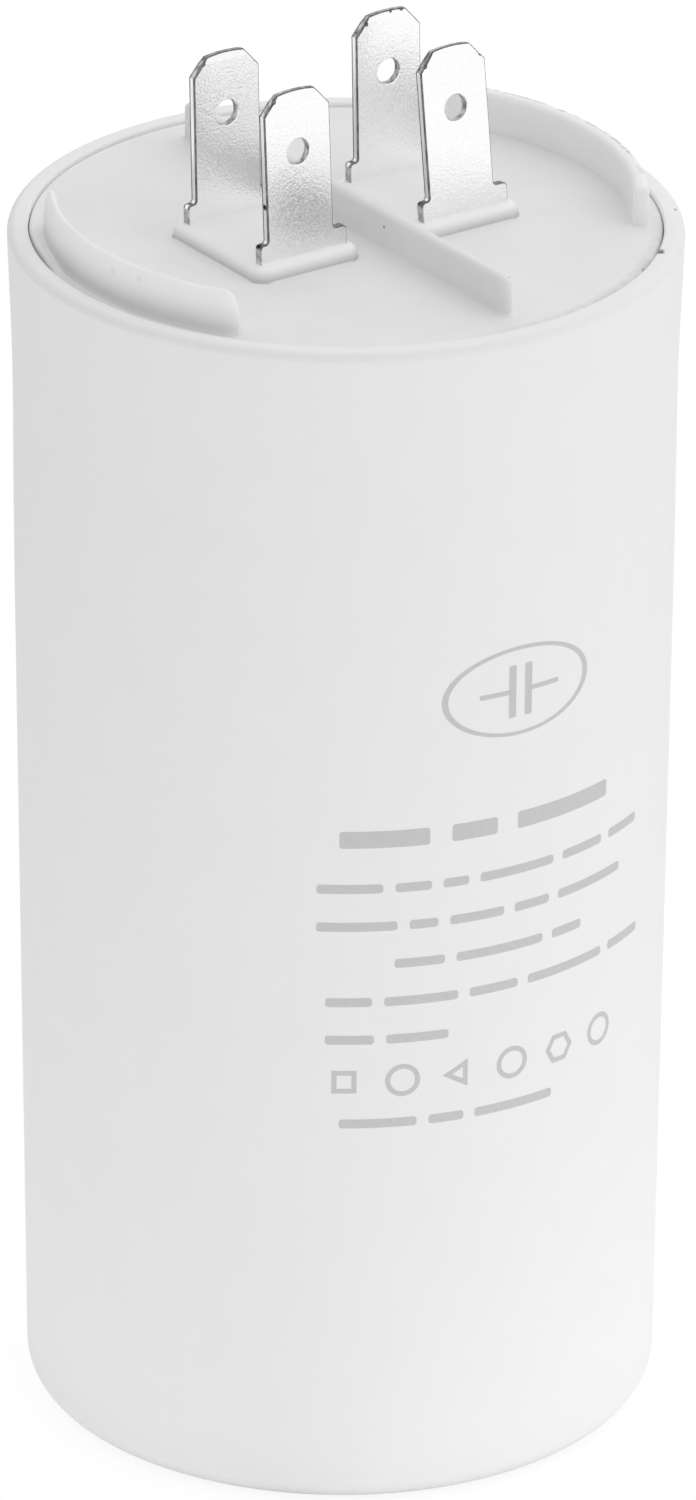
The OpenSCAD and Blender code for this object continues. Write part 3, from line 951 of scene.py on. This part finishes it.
# A flat outline of a regular shape; gives its vertices
def flatShape(bm, x, y, size, sides, line):
    turn = Matrix.Rotation(math.pi / 4 if sides == 4 else math.pi / 2, 4, "Z")
    place = Matrix.Translation((x, y, 0)) @ turn
    made = bmesh.ops.create_circle(bm, cap_ends=True, segments=sides, radius=size / 2, matrix=place)
    face = made["verts"][0].link_faces[0]
    rim = bmesh.ops.inset_region(bm, faces=[face], thickness=line, use_boundary=True, use_even_offset=True)
    bmesh.ops.delete(bm, geom=[face], context="FACES")
    return list({v for rimFace in rim["faces"] for v in rimFace.verts})


def makePrint():
    s = printSet
    bm = bmesh.new()
    rows = [(level, start, lengths, s["barHigh"]) for level, start, lengths in s["lines"]]
    for level, start, lengths, high in [*rows, s["large"]]:
        for length in lengths:
            flatBar(bm, start + length / 2, level, length, high, s["barCorner"])
            start += length + s["gap"] * high / s["barHigh"]
    level, size, shapes = s["shapes"]
    for sides, x in shapes:
        flatShape(bm, x, level, size, sides, s["line"])
    level, middle, plate, apart, lead = s["symbol"]
    for side in (-1, 1):
        flatBar(bm, middle + side * apart / 2, level, s["plateLine"], plate, s["lineCorner"])
        flatBar(bm, middle + side * (apart + lead) / 2, level, lead, s["line"], s["lineCorner"])
    wide, squash = s["badge"]
    oval = flatShape(bm, 0, 0, wide, s["badgeSides"], s["badgeLine"])
    bmesh.ops.scale(bm, vec=(1, squash, 1), verts=oval)
    bmesh.ops.translate(bm, vec=(middle, level, 0), verts=oval)
    thicken(bm, 2 * s["thick"])
    for i in range(-s["strips"], s["strips"] + 1):
        cutAcross(bm, (i, 0, 0), (1, 0, 0))
    for v in bm.verts:
        along, level, out = v.co
        angle = math.radians(s["middle"]) + along / wallRadius(level)
        reach = wallRadius(level) - s["thick"] + out
        v.co = (reach * math.cos(angle), reach * math.sin(angle), level)
    bmesh.ops.recalc_face_normals(bm, faces=bm.faces)
    return makePiece("printedMarks", bm, [ink], None)


makePrint()


# Floor and soft light all around, brightest halfway up at the right and the back
studioSet = {
    "floorSize": 4.0,
    "floorLevel": 0.8,
    "floorWhite": 1.09,     # brightness where the floor is looked at
    "floorShown": 0.8,      # share of that in what is seen; the rest is the lit floor with its shadow
    "floorShine": (0.62, 0.4),      # light that the floor adds to the can from below, near it and far off
    "floorPool": (0.05, 0.35),      # where near ends and far begins, in metres
    "floorShade": (0.0235, 0.031),  # where the foot's shade begins to fade and ends, in metres
    "overhead": 0.95,
    "halfUp": 0.45,         # how high halfway up is, from 0 at the horizon to 1 overhead
    "turn": -35,            # direction of the right side, in degrees
    # brightness near the horizon and halfway up
    "right": (0.1, 1.36),
    "left": (0.0, 0.44),
    "back": (0.0, 1.12),
    "front": (0.42, 0.68),
}


# Rays of one kind, as 0 or 1
def rays(start, kind):
    return start.node("ShaderNodeLightPath", None, None, "Is %s Ray" % kind)


# Rays that look at the background: the camera's own, and those in metal and glass
def lookingRays(start):
    return (rays(start, "Camera") + rays(start, "Glossy") + rays(start, "Transmission")).ramp(0, 1)


def makeFloor():
    s = studioSet
    bm = bmesh.new()
    bmesh.ops.create_grid(bm, x_segments=1, y_segments=1, size=s["floorSize"])
    bmesh.ops.translate(bm, vec=(0, 0, cadBox[0].z), verts=bm.verts)
    floor = tempObject(bm, "floor")
    material = bpy.data.materials.new("paleFloor")
    material.use_nodes = True
    tree = material.node_tree
    tree.nodes.clear()
    start = Wire(tree)
    plain = start.node("ShaderNodeBsdfDiffuse", None, {"Color": grey(s["floorLevel"])})
    white = start.node("ShaderNodeEmission", None, {"Color": grey(s["floorWhite"])})
    seen = lookingRays(start)
    place = start.node("ShaderNodeTexCoord", None, None, "Object")
    distance = start.node("ShaderNodeVectorMath", {"operation": "LENGTH"}, {0: place}, "Value")
    near, far = s["floorShine"]
    shine = rays(start, "Diffuse") * (near - distance.ramp(*s["floorPool"]) * (near - far))
    shine = shine * distance.ramp(*s["floorShade"])
    thrown = start.node("ShaderNodeEmission", None, {"Color": grey(1), "Strength": shine})
    mixed = start.node("ShaderNodeMixShader", None, {0: seen * s["floorShown"], 1: plain, 2: white})
    both = start.node("ShaderNodeAddShader", None, {0: mixed, 1: thrown})
    start.node("ShaderNodeOutputMaterial", None, {"Surface": both})
    floor.data.materials.append(material)


def makeWorld():
    s = studioSet
    world = bpy.data.worlds.new("studio")
    scene.world = world
    world.use_nodes = True
    tree = world.node_tree
    tree.nodes.clear()
    start = Wire(tree)
    direction = start.node("ShaderNodeTexCoord", None, None, "Generated")
    swung = start.node("ShaderNodeVectorRotate", {"rotation_type": "Z_AXIS"},
                       {"Vector": direction, "Angle": -math.radians(s["turn"])})
    parts = [start.node("ShaderNodeSeparateXYZ", None, {"Vector": swung}, axis) for axis in "XYZ"]
    across, away, height = parts
    overhead = height.ramp(s["halfUp"], 1)
    level = overhead * s["overhead"]
    low = 1 - height.ramp(0, s["halfUp"])
    halfway = 1 - low - overhead
    tiny = 0.000001
    flat = start.math("MAXIMUM", across * across + away * away, tiny)
    for side, reach in (("right", across), ("left", -1 * across), ("back", away), ("front", -1 * away)):
        facing = start.math("MAXIMUM", reach, 0)
        nearHorizon, higher = s[side]
        share = start.math("DIVIDE", facing * facing, flat)
        level = level + share * (low * nearHorizon + halfway * higher)
    shown = level + lookingRays(start) * (1 - level)
    sky = start.node("ShaderNodeBackground", None, {"Color": grey(1), "Strength": shown})
    start.node("ShaderNodeOutputWorld", None, {"Surface": sky})


makeFloor()
makeWorld()
print("studio set")


# The camera of the photograph, in millimetres and degrees
cameraSet = {
    "place": (-575.1, -821.4, 519.8),
    "aim": (0.330, -0.231, 56.596),
    "roll": 0.335,
    "focal": 321.6,
    "sensor": 36.0,
    "clip": (0.05, 20),     # in metres
}


def makeCamera():
    s = cameraSet
    data = bpy.data.cameras.new("photoCamera")
    data.sensor_width = s["sensor"]
    data.lens = s["focal"]
    data.clip_start, data.clip_end = s["clip"]
    camera = bpy.data.objects.new("photoCamera", data)
    forward = (Vector(s["aim"]) - Vector(s["place"])).normalized()
    turn = forward.to_track_quat("-Z", "Y").to_matrix() @ Matrix.Rotation(math.radians(s["roll"]), 3, "Z")
    camera.matrix_world = Matrix.Translation(Vector(s["place"]) * mm) @ turn.to_4x4()
    scene.collection.objects.link(camera)
    scene.camera = camera


makeCamera()
print("camera set")
